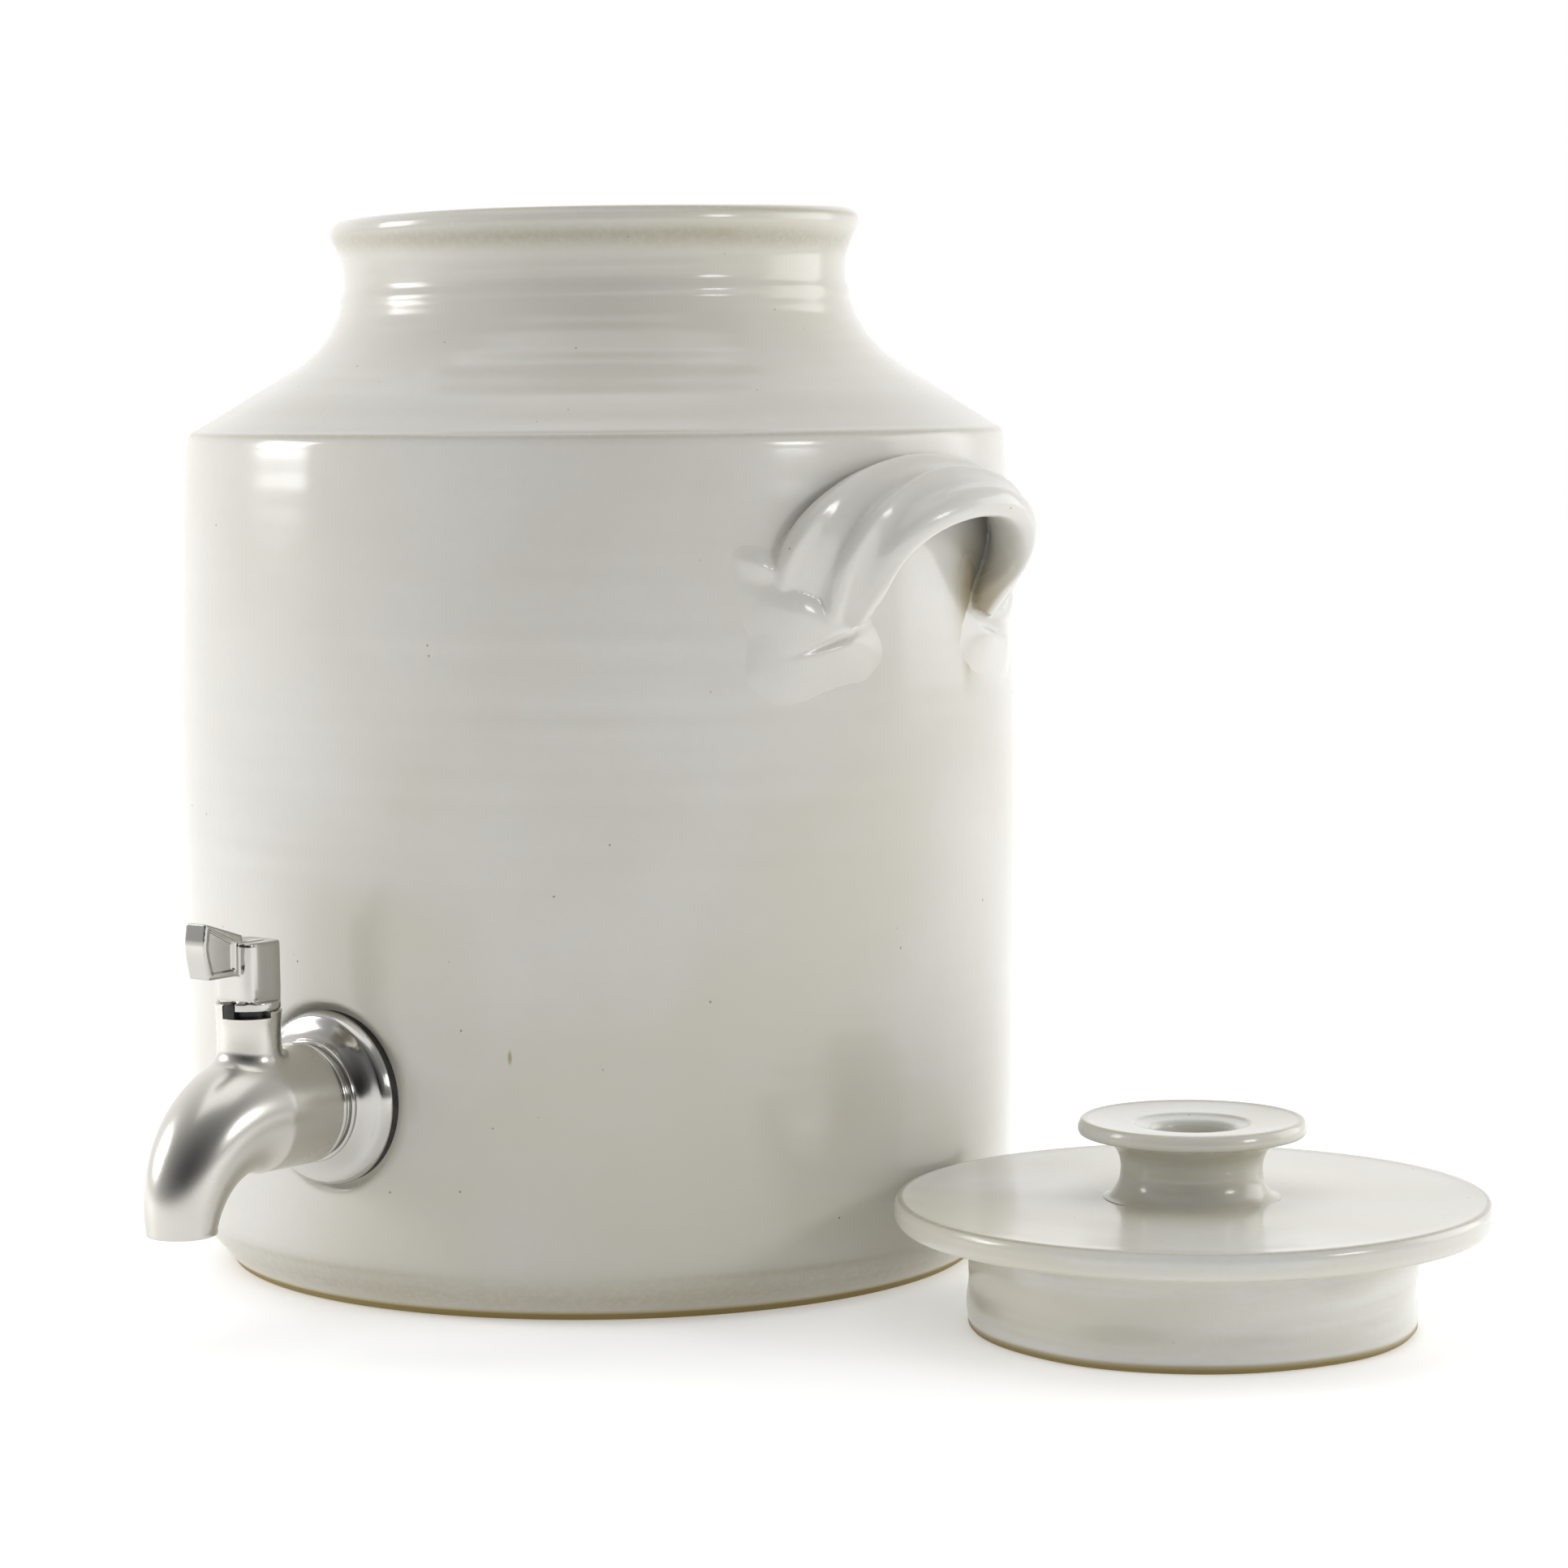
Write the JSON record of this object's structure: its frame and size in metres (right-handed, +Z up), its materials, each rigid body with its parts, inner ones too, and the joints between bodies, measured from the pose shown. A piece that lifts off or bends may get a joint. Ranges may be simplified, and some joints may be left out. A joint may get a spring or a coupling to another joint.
{
  "type": "ceramic crock fermenter",
  "caption": "Glazed stoneware crock with wide mouth, strap handles, lift-off knobbed lid lying beside it, and a quarter-turn steel spigot low on its wall.",
  "frame": {"origin": "centre of the crock's foot, on the surface it stands on", "axes": "+Z up along the crock's axis, spigot along -Y, lid lying at +X"},
  "size_m": [0.4441, 0.3236, 0.3145],
  "materials": {
    "crock_glaze": "satin ivory glaze over buff stoneware",
    "handle_glaze": "satin ivory glaze, thicker in the grooves",
    "lid_glaze": "satin ivory glaze, thin and brown on the edges",
    "satin_steel": "satin cast stainless",
    "polished_steel": "polished stainless",
    "turned_steel": "turned stainless",
    "gasket_rubber": "dark matte rubber",
    "valve_plastic": "black acetal"
  },
  "bodies": {
    "crock": {"crock_body": "crock_glaze", "handle_right": "handle_glaze", "handle_left": "handle_glaze", "threaded_shank": "turned_steel", "outer_gasket": "gasket_rubber", "inner_gasket": "gasket_rubber", "inner_washer": "turned_steel", "shank_nut": "turned_steel", "escutcheon": "polished_steel", "spigot_collar": "polished_steel", "shank_seal": "gasket_rubber", "spigot_body": "satin_steel", "valve_retainer": "valve_plastic"},
    "lever": {"valve_plug": "valve_plastic", "plug_seal_lower": "gasket_rubber", "plug_seal_upper": "gasket_rubber", "lever": "polished_steel", "lever_washer": "turned_steel", "lever_screw": "turned_steel", "lever_cap": "polished_steel"},
    "lid": {"lid_plate": "lid_glaze", "lid_knob": "lid_glaze"}
  },
  "joints": [
    {"name": "lever_turn", "type": "hinge", "parent": "crock", "child": "lever", "pos_m": [0, -0.1583, 0.0626], "axis": [0, 0, 1], "range_deg": [0, 90]},
    {"name": "lid_lift", "type": "slide", "parent": "crock", "child": "lid", "axis": [0.342, 0, 0.9397], "range_m": [0, 0.35]}
  ]
}
